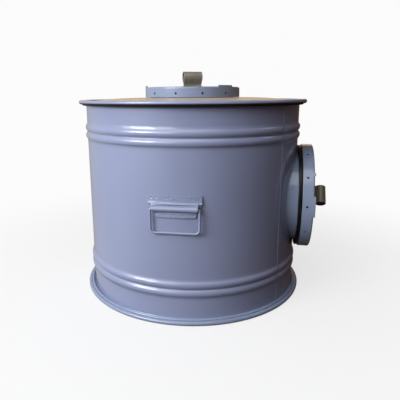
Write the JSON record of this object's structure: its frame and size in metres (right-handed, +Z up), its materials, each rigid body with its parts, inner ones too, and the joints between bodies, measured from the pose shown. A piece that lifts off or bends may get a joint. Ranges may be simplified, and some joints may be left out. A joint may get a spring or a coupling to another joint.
{
  "type": "ventilation filter drum",
  "caption": "Grey painted steel filter drum with swaged beads, rolled rims, capped round air spigots in the lid and the side, and wire bail handles on stamped saddles.",
  "frame": {"origin": "middle of the drum at floor level", "axes": "+Z up along the drum, front handle close to -Y, side spigot pointing along +X"},
  "size_m": [0.5876, 0.532, 0.5111],
  "materials": {
    "shell_paint": "gloss silver-grey paint over sheet steel",
    "wire_paint": "gloss silver-grey paint, rubbed where the wire turns",
    "collar_rubber": "black moulded rubber",
    "guard_steel": "perforated steel sheet",
    "loop_plating": "dull olive-grey plating on the strap loops",
    "filter_medium": "dark filter medium behind the guards"
  },
  "bodies": {
    "drum": {"drum_wall": "shell_paint", "bottom_flange": "shell_paint", "top_flange": "shell_paint", "wall_seam": "shell_paint", "bottom_rim": "shell_paint", "top_rim": "shell_paint", "bottom_plate": "shell_paint", "top_lid": "shell_paint", "filter_core": "filter_medium", "top_spigot": "shell_paint", "top_spigot_weld": "shell_paint", "top_guard": "guard_steel", "top_collar": "collar_rubber", "side_spigot": "shell_paint", "side_guard": "guard_steel", "side_collar": "collar_rubber", "front_saddle": "shell_paint", "back_saddle": "shell_paint"},
    "top_cap": {"top_cap_ring": "shell_paint", "top_cap_disc": "shell_paint", "top_cap_loop": "loop_plating"},
    "side_cap": {"side_cap_ring": "shell_paint", "side_cap_disc": "shell_paint", "side_cap_loop": "loop_plating"},
    "front_handle": {"front_bail": "wire_paint"},
    "back_handle": {"back_bail": "wire_paint"}
  },
  "joints": [
    {"name": "top_cap_pull", "type": "slide", "parent": "drum", "child": "top_cap", "axis": [0, 0, 1], "range_m": [0, 0.12]},
    {"name": "side_cap_pull", "type": "slide", "parent": "drum", "child": "side_cap", "axis": [1, 0, 0], "range_m": [0, 0.12]},
    {"name": "front_bail_hinge", "type": "hinge", "parent": "drum", "child": "front_handle", "pos_m": [0.01148, -0.25284, 0.242], "axis": [-0.999, -0.0454, 0], "range_deg": [0, 150]},
    {"name": "back_bail_hinge", "type": "hinge", "parent": "drum", "child": "back_handle", "pos_m": [-0.01148, 0.25284, 0.242], "axis": [0.999, 0.0454, 0], "range_deg": [0, 150]}
  ]
}
